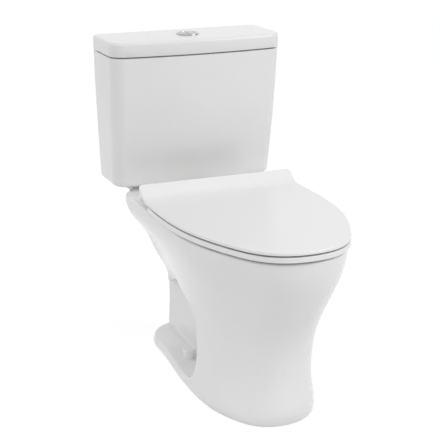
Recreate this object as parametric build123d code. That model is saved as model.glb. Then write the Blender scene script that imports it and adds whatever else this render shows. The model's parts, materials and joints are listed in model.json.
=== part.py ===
from build123d import *
import math
import os

os.makedirs("parts", exist_ok=True)

# Close coupled toilet, millimetres, front towards -Y, floor at Z = 0

# Heights
rim_height = 385.0
tank_gap = 9.0
tank_height = 298.0
tank_lid_height = 34.3

# Bowl outlines: level, front end, widest place, half width, fullness, rear end, rear half width, corner radius
sole = (0.0, -253.5, -14.0, 118.5, 0.742, 321.0, 104.0, 92.0)
toe = (22.0, -270.0, -14.0, 120.5, 0.744, 320.0, 104.0, 92.0)
ankle = (75.0, -269.0, -20.0, 111.0, 0.740, 300.0, 96.0, 80.0)
waist = (125.0, -269.0, -29.0, 109.0, 0.735, 285.0, 86.0, 65.0)
knee = (175.0, -275.5, -40.0, 113.0, 0.729, 272.0, 75.0, 54.0)
belly = (235.0, -298.0, -51.0, 126.5, 0.722, 266.0, 102.0, 50.0)
chest = (rim_height - 85.0, -333.0, -60.0, 150.5, 0.715, 264.0, 135.0, 50.0)
shoulder = (rim_height - 45.0, -350.0, -63.5, 165.5, 0.710, 262.0, 165.0, 50.0)
collar = (rim_height - 20.0, -355.0, -65.0, 171.5, 0.709, 262.0, 175.0, 50.0)
rim = (rim_height, -356.0, -66.0, 174.0, 0.708, 262.0, 178.0, 50.0)
rim_edge = 6.0

# Side recess: arch behind the skirt, above the foot
foot_thickness = 22.0
recess_front = -33.0
recess_round = 38.0
recess_corner = 48.0
recess_peak_y = 85.0
recess_peak = 203.0
recess_back_radius = 240.0
recess_back_reach = 95.0
recess_edge = 6.0

# Trapway column (level, half width, rear end) and tank shelf
column_front = -120.0
column_corner = 25.0
column_foot = (0.0, 52.0, 307.0)
column_low = (60.0, 52.0, 306.0)
column_middle = (120.0, 51.0, 305.0)
column_high = (180.0, 54.0, 310.0)
neck_low = (240.0, 61.0, 323.0)
neck_high = (300.0, 68.0, 336.0)
neck_top = (rim_height, 68.0, 336.0)
shelf_half = 104.0
shelf_front = 180.0
shelf_rear = 350.0
shelf_thickness = 24.0
shelf_corner = 30.0

# Basin outlines: level, front end, widest place, half width, rear end
opening_front = -312.0
opening_widest = -108.0
opening_half = 138.0
opening_rear = 62.0
opening_edge = 7.0
rim_depth = 38.0
rim_overhang = 18.0
basin_high = (290.0, -302.0, -100.0, 138.0, 74.0)
basin_middle = (228.0, -240.0, -120.0, 92.0, 25.0)
basin_low = (165.0, -175.0, -115.0, 54.0, -20.0)
sump_top = (125.0, -150.0, -105.0, 46.0, -45.0)
sump_floor = (95.0, -135.0, -100.0, 34.0, -60.0)

# Siphon trapway, flush inlet and outlet horn
trap_radius = 27.0
trap_bend = 45.0
trap_inlet_y = -100.0
trap_inlet_level = 112.0
trap_climb_y = 30.0
weir_y = 135.0
weir_level = 232.0
downleg_y = 212.0
downleg_level = 92.0
outlet_level = 60.0
outlet_y = 95.0
horn_radius = 42.0
horn_groove = 60.0
horn_groove_depth = 14.0
horn_recess = 3.0
inlet_radius = 34.0
inlet_depth = 52.0
channel_radius = 18.0
channel_front = 60.0

# Hollow under the skirt
hollow_front = -232.0
hollow_widest = -150.0
hollow_half = 84.0
hollow_rear = -80.0
hollow_depth = 58.0
hollow_draft = 10.0

# Floor bolts
floor_bolt_spacing = 152.4
floor_hole_radius = 6.5
cap_radius = 14.0
cap_height = 22.0
cap_wall = 2.0
cap_edge = 3.0

# Tank
lid_back = 362.0
lid_half = 202.3
lid_front = 211.5
lid_bow = 15.2
lid_overhang = 1.2
tank_side_taper = 10.0
tank_front_taper = 29.0
tank_bulge = 0.38
front_corner = 34.0
rear_corner = 16.0
tank_rear_corner = 11.5
tank_wall = 10.0
tank_floor = 12.0
tank_foot_radius = 11.0
lid_edge = 6.0
lid_shadow_gap = 3.5
lid_shadow_depth = 7.0
lid_skin = 14.0
lid_lip = 6.0
lid_lip_depth = 8.0
lid_lip_clearance = 3.0
lid_lip_corner = 3.0

# Flush button
button_radius = 18.0
button_rise = 4.5
button_depth = 12.0
button_dome = 90.0
button_gap = 1.0
button_clearance = 0.5
split_x = -4.0
full_x = 9.0
half_x = -11.0
bezel_radius = 25.5
bezel_rise = 3.0
bezel_edge = 2.0
bezel_wall = 2.0
bezel_depth = 34.0
bezel_floor = 3.0
bezel_hole_clearance = 0.5
bezel_nut_radius = 29.0
bezel_nut_height = 8.0
thread_clearance = 0.2
rod_radius = 3.0
rod_clearance = 0.5
spring_wire = 0.7
spring_radius = 5.2
spring_turns = 4.0
spring_gap = 0.3

# Flush valve, levels above the tank floor
valve_y = 283.0
shank_radius = 30.0
flow_radius = 25.0
shank_length = 36.0
shank_clearance = 2.0
valve_flange_radius = 40.0
valve_flange = 8.0
washer_thickness = 4.0
seat_lip = 6.0
seat_lip_wall = 3.0
cage_radius = 37.0
cage_wall = 4.0
cage_height = 76.0
window_width = 30.0
window_height = 40.0
bracket_level = 184.0
bracket_height = 36.0
bracket_half = 40.0
bracket_inside = 12.0
bracket_wall = 4.0
leg_width = 6.0
pivot_x = 32.0
pivot_level = 204.0
pin_radius = 2.0
lever_width = 7.0
lever_thickness = 5.0
lever_reach = 18.0
lever_boss = 6.0
nub_radius = 2.5
lever_clearance = 1.2
running_clearance = 0.05
tube_radius = 19.5
tube_wall = 3.5
tube_top = 164.0
disc_radius = 30.0
disc_thickness = 6.0
seal_thickness = 3.5
seal_gap = 0.4
ear_width = 10.0
ear_wall = 6.0
port_half = 9.5
sleeve_gap = 0.5
sleeve_wall = 3.0
sleeve_low = 98.0
sleeve_high = 136.0
valve_nut_radius = 42.0
valve_nut_clearance = 2.0
gasket_radius = 64.0
gasket_clearance = 3.0

# Fill valve, levels above the tank floor
fill_inset = 70.3
fill_y = 290.0
fill_shank_radius = 10.5
fill_neck_radius = 11.0
fill_bore = 5.0
fill_shank_below = 48.0
fill_hole_clearance = 3.0
fill_flange_radius = 22.0
fill_flange = 5.0
riser_radius = 12.0
head_level = 188.0
head_radius = 20.0
head_height = 40.0
fill_cap_height = 12.0
fill_cap_edge = 6.0
float_radius = 36.0
float_height = 66.0
float_level = 92.0
float_wall = 3.0
float_clearance = 1.0
arm_pivot_offset = 10.0
arm_level = 218.0
arm_length = 39.0
arm_wall = 4.0
arm_gap = 2.5
arm_thickness = 8.0
link_wall = 3.0
link_width = 9.0
link_foot = 12.0
link_pin = 1.8
link_clearance = 0.6
link_slot = 6.4
fill_nut_radius = 18.0
fill_nut_height = 15.0

# Refill tube and its clip
nipple_radius = 3.4
nipple_length = 12.0
nipple_level = 201.0
nipple_root = 2.0
refill_radius = 4.0
refill_bend = 14.0
refill_run = 26.0
refill_level = 179.0
refill_turn_x = -40.0
refill_turn_y = 316.0
refill_mouth = 8.0
clip_half = 7.0
clip_wall = 1.5
clip_thickness = 5.0

# Tank bolts
tank_bolt_x = 86.0
tank_bolt_radius = 4.0
tank_bolt_hole = 6.0
tank_bolt_head = 9.0
tank_bolt_head_height = 6.0
bolt_seal_radius = 15.0
bolt_seal_thickness = 5.0
bolt_washer_radius = 12.0
bolt_washer_thickness = 2.5
bolt_nut_radius = 7.5
bolt_nut_height = 7.0
bolt_end = 8.0

# Seat
seat_front = -362.0
seat_widest = -5.0
seat_half = 183.8
seat_fullness = 0.720
seat_rear_half = 181.0
seat_corner = 9.0
ring_bumper = 4.8
ring_thickness = 10.2
ring_rear = 68.0
ring_edge = 1.6
ring_lip = 4.0
ring_hollow = 6.5
hole_front = -272.0
hole_widest = -120.0
hole_half = 106.0
hole_rear = 22.0
lid_bumper = 4.0
seat_lid_thickness = 6.6
seat_lid_rear = 121.0
seat_lid_rise = 34.0
rise_start = 68.0
rise_end = 150.0
seat_lid_edge = 3.0
seat_lid_lip = 4.0
seat_lid_hollow = 3.0
bumper_gap = 0.3
bumper_length = 26.0
bumper_width = 10.0
bumper_x = 128.0
bumper_front = -230.0
bumper_rear = 20.0

# Seat hinge
hinge_y = 108.0
hinge_rise = 25.0
hinge_pin_radius = 4.0
base_x = 70.0
barrel_radius = 8.5
barrel_half = 13.0
post_half = 10.0
post_thickness = 12.0
plate_thickness = 4.0
plate_radius = 16.0
plate_setback = 4.0
knuckle_low = 34.0
knuckle_high = 53.0
knuckle_radius = 7.0
knuckle_inset = 1.0
arm_root = 12.0
arm_bend = 16.0
arm_heel = 20.0
ear_low = 88.0
ear_high = 104.0
hinge_pocket_half = 118.0
hinge_pocket_front = 86.0
hinge_pocket_radius = 11.0
ear_root = 1.0
seat_bolt_y = 86.0
seat_bolt_radius = 3.0
seat_bolt_head = 6.5
seat_bolt_head_height = 4.0
anchor_hole_radius = 8.0
anchor_depth = 42.0
anchor_clearance = 0.4
anchor_length = 30.0
anchor_nut_height = 6.0

# Length of cuts that run out of the part, and slack for telling edges apart
beyond = 300.0
pick_slack = 0.1

MIN = (Align.CENTER, Align.CENTER, Align.MIN)


def post(radius, low, high, x=0.0, y=0.0):
    return Pos(x, y, low) * Cylinder(radius, high - low, align=MIN)


def sleeve(outer, inner, low, high, x=0.0, y=0.0):
    return post(outer, low, high, x, y) - post(inner, low, high, x, y)


def block(x_low, x_high, y_low, y_high, z_low, z_high):
    size = (x_high - x_low, y_high - y_low, z_high - z_low)
    return Pos(x_low, y_low, z_low) * Box(*size, align=(Align.MIN, Align.MIN, Align.MIN))


def pad(x, y, width, length, low, high):
    return block(x - width / 2, x + width / 2, y - length / 2, y + length / 2, low, high)


def bar_x(radius, x_low, x_high, y, z):
    return Pos(x_low, y, z) * Rot(0, 90, 0) * Cylinder(radius, x_high - x_low, align=MIN)


def bar_y(radius, y_low, y_high, x, z):
    return Pos(x, y_low, z) * Rot(-90, 0, 0) * Cylinder(radius, y_high - y_low, align=MIN)


def hexagon(radius, low, high, x, y):
    return Pos(x, y, low) * extrude(RegularPolygon(radius, 6), high - low)


# Plan of the bowl and seat: rounded nose, sides running back, straight rear with round corners
def plan(level, front, widest, half, fullness, rear, rear_half, corner):
    side_x = fullness * half
    side_y = widest - fullness * (widest - front)
    left_nose = Spline((-half, widest), (-side_x, side_y), (0, front), tangents=[(0, -1), (1, 0)])
    right_nose = Spline((0, front), (side_x, side_y), (half, widest), tangents=[(1, 0), (0, 1)])
    turn_x = rear_half - corner
    turn_y = rear - corner
    right = Spline((half, widest), (rear_half, turn_y), tangents=[(0, 1), (0, 1)])
    right_turn = CenterArc((turn_x, turn_y), corner, 0, 90)
    back = Line((turn_x, rear), (-turn_x, rear))
    left_turn = CenterArc((-turn_x, turn_y), corner, 90, 90)
    left = Spline((-rear_half, turn_y), (-half, widest), tangents=[(0, -1), (0, -1)])
    return Pos(0, 0, level) * make_face(left_nose + right_nose + right + right_turn + back + left_turn + left)


def oval(level, front, widest, half, rear):
    nose = EllipticalCenterArc((0, widest), half, widest - front, start_angle=180, arc_size=180)
    tail = EllipticalCenterArc((0, widest), half, rear - widest, start_angle=0, arc_size=180)
    return Pos(0, 0, level) * make_face(nose + tail)


# Plan of the tank and its lid: box with a bowed front
def tank_plan(level, half, rear, front, front_radius, rear_radius):
    face_line = ThreePointArc((-half, front), (0, front - lid_bow), (half, front))
    outline = Polyline((half, front), (half, rear), (-half, rear), (-half, front))
    face = make_face(face_line + outline)
    face = fillet(face.vertices().group_by(Axis.Y)[-1], rear_radius)
    face = fillet(face.vertices().group_by(Axis.Y)[0], front_radius)
    return Pos(0, 0, level) * face


def save(name, shape):
    export_step(shape, "parts/" + name + ".step")


# Bowl body: outlines lofted from the floor to the rim
outlines = [plan(*row) for row in (sole, toe, ankle, waist, knee, belly, chest, shoulder, collar, rim)]
shell = loft(outlines)
shell = fillet(shell.edges().group_by(Axis.Z)[-1], rim_edge)

# Side recess: floor, rounded front, arch and falling back, cut right through before the column is set in
recess_end = lid_back + recess_round
back_drop = recess_back_radius - math.sqrt(recess_back_radius**2 - recess_back_reach**2)
back_turn = math.degrees(math.asin(recess_back_reach / recess_back_radius))
arch_end = (recess_peak_y + recess_back_reach, recess_peak - back_drop)
fall = math.tan(math.radians(back_turn)) * (recess_end - arch_end[0])
fall_end = (recess_end, arch_end[1] - fall)
round_y = recess_front + recess_round
round_z = foot_thickness + recess_round
arch_y = recess_front + recess_corner
arch_z = recess_peak - recess_corner
recess_lines = [
    Line((recess_end, foot_thickness), (round_y, foot_thickness)),
    CenterArc((round_y, round_z), recess_round, 180, 90),
    Line((recess_front, round_z), (recess_front, arch_z)),
    CenterArc((arch_y, arch_z), recess_corner, 90, 90),
    Line((arch_y, recess_peak), (recess_peak_y, recess_peak)),
    CenterArc((recess_peak_y, recess_peak - recess_back_radius), recess_back_radius, 90 - back_turn, back_turn),
    Line(arch_end, fall_end),
    Line(fall_end, (recess_end, foot_thickness)),
]
recess = extrude(Plane.YZ * make_face(recess_lines), beyond, both=True)
body = shell - recess


def on_recess_mouth(edge):
    box = edge.bounding_box()
    above_foot = box.min.Z > foot_thickness - pick_slack
    below_peak = box.max.Z < recess_peak + pick_slack
    behind_front = box.min.Y > recess_front - pick_slack
    crosses = box.size.X > pick_slack and edge.geom_type != GeomType.LINE
    return above_foot and below_peak and behind_front and crosses


body = fillet(body.edges().filter_by(on_recess_mouth), recess_edge)


# Trapway column, flared neck and the shelf that carries the tank
def column_plan(level, half, rear):
    middle = (column_front + rear) / 2
    return Pos(0, middle, level) * RectangleRounded(2 * half, rear - column_front, column_corner)


column_rows = (column_foot, column_low, column_middle, column_high, neck_low, neck_high, neck_top)
column = loft([column_plan(*row) for row in column_rows])
shelf_low = rim_height - shelf_thickness
shelf = block(-shelf_half, shelf_half, shelf_front, shelf_rear, shelf_low, rim_height)
shelf = fillet(shelf.edges().filter_by(Axis.Z).group_by(Axis.Y)[-1], shelf_corner)
body = body + column + shelf

# Basin with overhanging rim
rim_low = rim_height - rim_depth
opening = extrude(oval(rim_low, opening_front, opening_widest, opening_half, opening_rear), rim_depth)
under_rim = (
    rim_low,
    opening_front - rim_overhang,
    opening_widest,
    opening_half + rim_overhang,
    opening_rear + rim_overhang,
)
basin = loft([oval(*row) for row in (under_rim, basin_high, basin_middle, basin_low, sump_top, sump_floor)])
body = body - opening
body = fillet(body.edges().filter_by(GeomType.ELLIPSE).group_by(Axis.Z)[-1], opening_edge)
body = body - basin

# Siphon trapway from the sump over the weir to the floor outlet
trap_path = Plane.YZ * FilletPolyline(
    (trap_inlet_y, trap_inlet_level),
    (trap_climb_y, trap_inlet_level),
    (weir_y, weir_level),
    (downleg_y, weir_level),
    (downleg_y, downleg_level),
    (outlet_y, outlet_level),
    (outlet_y, -horn_recess),
    radius=trap_bend,
)
trap_start = Plane(origin=trap_path @ 0, z_dir=trap_path % 0)
trapway = sweep(trap_start * Circle(trap_radius), path=trap_path)
body = body - trapway

# Tank inlet and the channel that feeds the basin from the rear
inlet_low = rim_height - inlet_depth
inlet = post(inlet_radius, inlet_low, rim_height, 0.0, valve_y)
channel = bar_y(channel_radius, channel_front, valve_y, 0.0, inlet_low + channel_radius)
body = body - inlet - channel

# Underside: hollow skirt and outlet horn
skirt_hollow = loft([
    oval(0.0, hollow_front, hollow_widest, hollow_half, hollow_rear),
    oval(
        hollow_depth,
        hollow_front + hollow_draft,
        hollow_widest,
        hollow_half - hollow_draft,
        hollow_rear - hollow_draft,
    ),
])
horn_cut = sleeve(horn_groove, horn_radius, 0.0, horn_groove_depth, 0.0, outlet_y)
horn_cut += post(horn_radius, 0.0, horn_recess, 0.0, outlet_y)
body = body - skirt_hollow - horn_cut

# Holes for floor bolts, tank bolts and seat anchors
floor_bolt_x = floor_bolt_spacing / 2
for side in (-1, 1):
    body -= post(floor_hole_radius, 0.0, foot_thickness, side * floor_bolt_x, outlet_y)
    body -= post(tank_bolt_hole, shelf_low, rim_height, side * tank_bolt_x, valve_y)
    body -= post(anchor_hole_radius, rim_height - anchor_depth, rim_height, side * base_x, seat_bolt_y)
save("bowl", body)

# Floor bolt caps, hollow below
caps = []
for side in (-1, 1):
    cap_x = side * floor_bolt_x
    cap_top = foot_thickness + cap_height
    cap = post(cap_radius, foot_thickness, cap_top, cap_x, outlet_y)
    cap = fillet(cap.edges().group_by(Axis.Z)[-1], cap_edge)
    cap -= post(cap_radius - cap_wall, foot_thickness, cap_top - cap_wall, cap_x, outlet_y)
    caps.append(cap)
save("floor_bolt_caps", Compound(children=caps))

# Tank: bowed box tapering towards its foot, open at the top
tank_low = rim_height + tank_gap
tank_top = tank_low + tank_height
floor_level = tank_low + tank_floor
tank_half = lid_half - lid_overhang
tank_back = lid_back - lid_overhang
tank_front = lid_front + lid_overhang
fill_x = fill_inset - lid_half


def tank_section(level, taper, wall):
    return tank_plan(
        level,
        tank_half - taper * tank_side_taper - wall,
        tank_back - wall,
        tank_front + taper * tank_front_taper + wall,
        front_corner - wall,
        tank_rear_corner - wall,
    )


tank_middle = (tank_low + tank_top) / 2
tank = loft([
    tank_section(tank_low, 1.0, 0.0),
    tank_section(tank_middle, tank_bulge, 0.0),
    tank_section(tank_top, 0.0, 0.0),
])
tank = fillet(tank.edges().group_by(Axis.Z)[0], tank_foot_radius)
tank -= loft([
    tank_section(floor_level, 1.0, tank_wall),
    tank_section(tank_middle, tank_bulge, tank_wall),
    tank_section(tank_top, 0.0, tank_wall),
])
tank -= post(shank_radius + shank_clearance, tank_low, floor_level, 0.0, valve_y)
tank -= post(fill_neck_radius + fill_hole_clearance, tank_low, floor_level, fill_x, fill_y)
for side in (-1, 1):
    tank -= post(tank_bolt_hole, tank_low, floor_level, side * tank_bolt_x, valve_y)
save("tank", tank)


# Tank lid with a locating lip inside the tank
def lid_plan(level, inset):
    front_radius = max(front_corner - inset, lid_lip_corner)
    rear_radius = max(rear_corner - inset, lid_lip_corner)
    return tank_plan(level, lid_half - inset, lid_back - inset, lid_front + inset, front_radius, rear_radius)


lid_top = tank_top + tank_lid_height
lip_low = tank_top - lid_lip_depth
lip_inset = lid_overhang + tank_wall + lid_lip_clearance
lid = extrude(lid_plan(tank_top, 0.0), tank_lid_height)
lid = fillet(lid.edges().group_by(Axis.Z)[-1], lid_edge)
lid += extrude(lid_plan(lip_low, lip_inset), lid_lip_depth)
lid -= extrude(lid_plan(lip_low, lip_inset + lid_lip), lid_top - lid_skin - lip_low)
shadow_gap = extrude(lid_plan(tank_top, 0.0), lid_shadow_gap)
lid -= shadow_gap - extrude(lid_plan(tank_top, lid_shadow_depth), lid_shadow_gap)
bezel_bore = button_radius + button_clearance
bezel_outer = bezel_bore + bezel_wall
lid -= post(bezel_outer + bezel_hole_clearance, tank_top, lid_top, 0.0, valve_y)
save("tank_lid", lid)

# Button bezel: flange, threaded sleeve and a floor with two rod holes
bezel_low = lid_top - bezel_depth
bezel = sleeve(bezel_outer, bezel_bore, bezel_low, lid_top, 0.0, valve_y)
flange = sleeve(bezel_radius, bezel_bore, lid_top, lid_top + bezel_rise, 0.0, valve_y)
flange = fillet(flange.edges().group_by(Axis.Z)[-1].sort_by(SortBy.LENGTH)[-1], bezel_edge)
bezel += flange
bezel += post(bezel_outer, bezel_low, bezel_low + bezel_floor, 0.0, valve_y)
for rod_x in (full_x, half_x):
    bezel -= post(rod_radius + rod_clearance, bezel_low, bezel_low + bezel_floor, rod_x, valve_y)
save("button_bezel", bezel)
nut_top = lid_top - lid_skin
nut_low = nut_top - bezel_nut_height
bezel_nut = hexagon(bezel_nut_radius, nut_low, nut_top, 0.0, valve_y)
bezel_nut -= post(bezel_outer + thread_clearance, nut_low, nut_top, 0.0, valve_y)
save("bezel_nut", bezel_nut)

# Two buttons cut from one domed disc
button_top = lid_top + button_rise
button_low = button_top - button_depth
dome = Pos(0, valve_y, button_top - button_dome) * Sphere(button_dome)
disc = post(button_radius, button_low, button_top, 0.0, valve_y) & dome
disc_y = (valve_y - button_radius, valve_y + button_radius)
full_cut = block(split_x + button_gap / 2, button_radius, *disc_y, button_low, button_top)
half_cut = block(-button_radius, split_x - button_gap / 2, *disc_y, button_low, button_top)
save("full_button", disc & full_cut)
save("half_button", disc & half_cut)

# Push rods reach from the buttons to the levers
pivot_z = floor_level + pivot_level
nub_z = pivot_z + lever_thickness
rod_low = nub_z + nub_radius + lever_clearance
save("full_rod", post(rod_radius, rod_low, button_low, full_x, valve_y))
save("half_rod", post(rod_radius, rod_low, button_low, half_x, valve_y))

# Return springs between the bezel floor and the buttons
spring_end = spring_wire + spring_gap
spring_low = bezel_low + bezel_floor + spring_end
spring_height = button_low - spring_end - spring_low
coil = Helix(spring_height / spring_turns, spring_height, spring_radius)
coil_start = Plane(origin=coil @ 0, z_dir=coil % 0)
spring = sweep(coil_start * Circle(spring_wire), path=coil)
save("full_spring", Pos(full_x, valve_y, spring_low) * spring)
save("half_spring", Pos(half_x, valve_y, spring_low) * spring)

# Flush valve body: shank, flange, windowed cage and lever bracket
flange_low = floor_level + washer_thickness
cage_low = flange_low + valve_flange
cage_top = cage_low + cage_height
valve = sleeve(shank_radius, flow_radius, flange_low - shank_length, flange_low, 0.0, valve_y)
valve += sleeve(valve_flange_radius, flow_radius, flange_low, cage_low, 0.0, valve_y)
valve += sleeve(flow_radius + seat_lip_wall, flow_radius, cage_low, cage_low + seat_lip, 0.0, valve_y)
cage = sleeve(cage_radius, cage_radius - cage_wall, cage_low, cage_top, 0.0, valve_y)
window = block(0.0, 2 * cage_radius, -window_width / 2, window_width / 2, 0.0, window_height)
for turn in range(4):
    cage -= Pos(0, valve_y, cage_low + seat_lip) * Rot(0, 0, 45 + 90 * turn) * window
valve += cage
guide_bore = tube_radius + 2 * sleeve_gap
valve += sleeve(cage_radius, guide_bore, cage_top - cage_wall, cage_top, 0.0, valve_y)
bracket_low = floor_level + bracket_level
bracket_out = bracket_inside + bracket_wall
for side in (-1, 1):
    plate_y = sorted((valve_y + side * bracket_inside, valve_y + side * bracket_out))
    valve += block(-bracket_half, bracket_half, *plate_y, bracket_low, bracket_low + bracket_height)
    for leg_side in (-1, 1):
        leg_x = sorted((leg_side * (pivot_x - leg_width), leg_side * pivot_x))
        valve += block(*leg_x, *plate_y, cage_top - cage_wall, bracket_low)
pin_bore = pin_radius + running_clearance
pins = []
for side in (-1, 1):
    valve -= bar_y(pin_bore, valve_y - bracket_out, valve_y + bracket_out, side * pivot_x, pivot_z)
    pins.append(bar_y(pin_radius, valve_y - bracket_out, valve_y + bracket_out, side * pivot_x, pivot_z))
save("flush_valve_body", valve)
save("lever_pins", Compound(children=pins))


# Levers: nub under the rod, boss on the pin, tip under the ear hook
def make_lever(side, rod_x):
    tip = side * (pivot_x + lever_reach)
    bar = sorted((rod_x, tip))
    y_range = (valve_y - lever_width / 2, valve_y + lever_width / 2)
    lever = block(*bar, *y_range, pivot_z - lever_thickness / 2, pivot_z + lever_thickness / 2)
    lever += bar_y(lever_boss, *y_range, side * pivot_x, pivot_z)
    lever += bar_y(nub_radius, *y_range, rod_x, nub_z)
    lever += block(rod_x - nub_radius, rod_x + nub_radius, *y_range, pivot_z, nub_z)
    lever -= bar_y(pin_bore, *y_range, side * pivot_x, pivot_z)
    return lever


save("full_lever", make_lever(1, full_x))
save("half_lever", make_lever(-1, half_x))

# Ear: arm from the tube out to an upright with a hook over the lever tip
hook_low = pivot_z + lever_thickness / 2 + lever_clearance
hook_inner = pivot_x + lever_reach - ear_wall
upright = pivot_x + lever_reach + nub_radius


def make_ear(side, start, arm_low):
    outer = side * (upright + ear_wall)
    y_range = (valve_y - ear_width / 2, valve_y + ear_width / 2)
    ear = block(*sorted((side * start, outer)), *y_range, arm_low, arm_low + ear_wall)
    ear += block(*sorted((side * upright, outer)), *y_range, arm_low, hook_low + ear_wall)
    ear += block(*sorted((side * hook_inner, outer)), *y_range, hook_low, hook_low + ear_wall)
    return ear


# Lifting canister: overflow tube with ports, disc and right ear
disc_low = cage_low + seat_lip + seal_gap + seal_thickness
canister_top = floor_level + tube_top
canister = post(tube_radius, disc_low, canister_top, 0.0, valve_y)
canister += post(disc_radius, disc_low, disc_low + disc_thickness, 0.0, valve_y)
canister += make_ear(1, tube_radius - tube_wall / 2, canister_top - 2 * ear_wall)
canister -= post(tube_radius - tube_wall, disc_low, canister_top, 0.0, valve_y)
port_level = floor_level + (sleeve_low + sleeve_high) / 2
canister -= pad(0.0, valve_y, 2 * disc_radius, 2 * port_half, port_level - port_half, port_level + port_half)
save("flush_canister", canister)
seal_low = disc_low - seal_thickness
save("canister_seal", sleeve(disc_radius, tube_radius - tube_wall, seal_low, disc_low, 0.0, valve_y))

# Half flush sleeve covers the ports and has the left ear
sleeve_inner = tube_radius + sleeve_gap
sleeve_outer = sleeve_inner + sleeve_wall
sleeve_ends = (floor_level + sleeve_low, floor_level + sleeve_high)
half_sleeve = post(sleeve_outer, *sleeve_ends, 0.0, valve_y)
half_sleeve += make_ear(-1, sleeve_inner + sleeve_wall / 2, sleeve_ends[1] - ear_wall)
half_sleeve -= post(sleeve_inner, *sleeve_ends, 0.0, valve_y)
save("half_sleeve", half_sleeve)

# Flush valve washer inside the tank, nut and gasket below it
valve_washer = sleeve(valve_flange_radius, shank_radius + thread_clearance, floor_level, flange_low, 0.0, valve_y)
save("flush_valve_washer", valve_washer)
valve_nut_low = rim_height + valve_nut_clearance
valve_nut = hexagon(valve_nut_radius, valve_nut_low, tank_low, 0.0, valve_y)
valve_nut -= post(shank_radius + thread_clearance, valve_nut_low, tank_low, 0.0, valve_y)
save("flush_valve_nut", valve_nut)
gasket = sleeve(gasket_radius, valve_nut_radius + gasket_clearance, rim_height, tank_low, 0.0, valve_y)
save("tank_gasket", gasket)

# Fill valve body: shank, flange, riser, head, nipple and arm pins
fill_flange_low = floor_level + washer_thickness
riser_low = fill_flange_low + fill_flange
head_low = floor_level + head_level
head_top = head_low + head_height
fill_end = tank_low - fill_shank_below
fill_nut_low = tank_low - fill_nut_height
arm_z = floor_level + arm_level
arm_pivot_y = fill_y + arm_pivot_offset
arm_in = head_radius + arm_gap
arm_out = arm_in + arm_wall
nipple_z = floor_level + nipple_level
nipple_end = fill_x + head_radius + nipple_length
fill = post(fill_shank_radius, fill_end, fill_nut_low, fill_x, fill_y)
fill += post(fill_neck_radius, fill_nut_low, fill_flange_low, fill_x, fill_y)
fill += post(fill_flange_radius, fill_flange_low, riser_low, fill_x, fill_y)
fill += post(riser_radius, riser_low, head_low, fill_x, fill_y)
fill += post(head_radius, head_low, head_top, fill_x, fill_y)
fill += bar_x(nipple_radius, fill_x + head_radius - nipple_root, nipple_end, fill_y, nipple_z)
fill += bar_x(pin_radius, fill_x - arm_out, fill_x + arm_out, arm_pivot_y, arm_z)
fill -= post(fill_bore, fill_end, head_low, fill_x, fill_y)
save("fill_valve_body", fill)
fill_cap = post(head_radius, head_top, head_top + fill_cap_height, fill_x, fill_y)
fill_cap = fillet(fill_cap.edges().group_by(Axis.Z)[-1], fill_cap_edge)
save("fill_valve_cap", fill_cap)

# Float cup, open below, sliding on the riser
float_low = floor_level + float_level
float_top = float_low + float_height
float_bore = riser_radius + float_clearance
cup = post(float_radius, float_low, float_top, fill_x, fill_y)
cup = fillet(cup.edges().group_by(Axis.Z)[-1], float_wall)
cup_inner = float_bore + float_wall
cup -= sleeve(float_radius - float_wall, cup_inner, float_low, float_top - float_wall, fill_x, fill_y)
cup -= post(float_bore, float_low, float_top, fill_x, fill_y)
save("float_cup", cup)

# Float arm: fork round the head with a pin for the link
cross_y = arm_pivot_y - arm_length
cross_front = cross_y - arm_wall
arm_heights = (arm_z - arm_thickness / 2, arm_z + arm_thickness / 2)
arm = block(fill_x - arm_out, fill_x + arm_out, cross_front, cross_y, *arm_heights)
for side in (-1, 1):
    prong = sorted((fill_x + side * arm_in, fill_x + side * arm_out))
    arm += block(*prong, cross_y, arm_pivot_y, *arm_heights)
    arm += bar_x(arm_thickness / 2, *prong, arm_pivot_y, arm_z)
arm -= bar_x(pin_bore, fill_x - arm_out, fill_x + arm_out, arm_pivot_y, arm_z)
arm += bar_y(link_pin, cross_front - link_wall - 2 * arm_gap, cross_front, fill_x, arm_z)
save("float_arm", arm)

# Float link: plate from the float to the arm pin, with a slot
link_back = cross_front - arm_gap
link_front = link_back - link_wall
link_x = (fill_x - link_width / 2, fill_x + link_width / 2)
link = block(*link_x, link_front, link_back, float_top, arm_z + link_width)
link += block(*link_x, link_front, link_front + link_foot, float_top, float_top + link_wall)
slot_width = 2 * (link_pin + link_clearance)
link -= pad(fill_x, link_back - link_wall / 2, slot_width, link_wall, arm_z - link_slot / 2, arm_z + link_slot / 2)
save("float_link", link)

# Fill valve washer and nut
fill_thread = fill_neck_radius + thread_clearance
save("fill_valve_washer", sleeve(fill_flange_radius, fill_thread, floor_level, fill_flange_low, fill_x, fill_y))
fill_nut = hexagon(fill_nut_radius, fill_nut_low, tank_low, fill_x, fill_y)
fill_nut -= post(fill_thread, fill_nut_low, tank_low, fill_x, fill_y)
save("fill_valve_nut", fill_nut)

# Refill tube from the nipple to the mouth of the overflow tube, held by a clip under the bracket
refill_z = floor_level + refill_level
refill_path = FilletPolyline(
    (nipple_end, fill_y, nipple_z),
    (nipple_end + refill_run, fill_y, nipple_z),
    (refill_turn_x, refill_turn_y, refill_z),
    (0.0, refill_turn_y, refill_z),
    (0.0, valve_y + refill_mouth, refill_z),
    radius=refill_bend,
)
refill_start = Plane(origin=refill_path @ 0, z_dir=refill_path % 0)
save("refill_tube", sweep(refill_start * Circle(refill_radius), path=refill_path))
clip_bore = refill_radius + thread_clearance
clip_y = valve_y + (bracket_inside + bracket_out) / 2
clip = pad(0.0, clip_y, 2 * clip_half, clip_thickness, refill_z - clip_bore - clip_wall, bracket_low)
clip -= bar_y(clip_bore, clip_y - clip_thickness / 2, clip_y + clip_thickness / 2, 0.0, refill_z)
save("refill_clip", clip)

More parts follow.
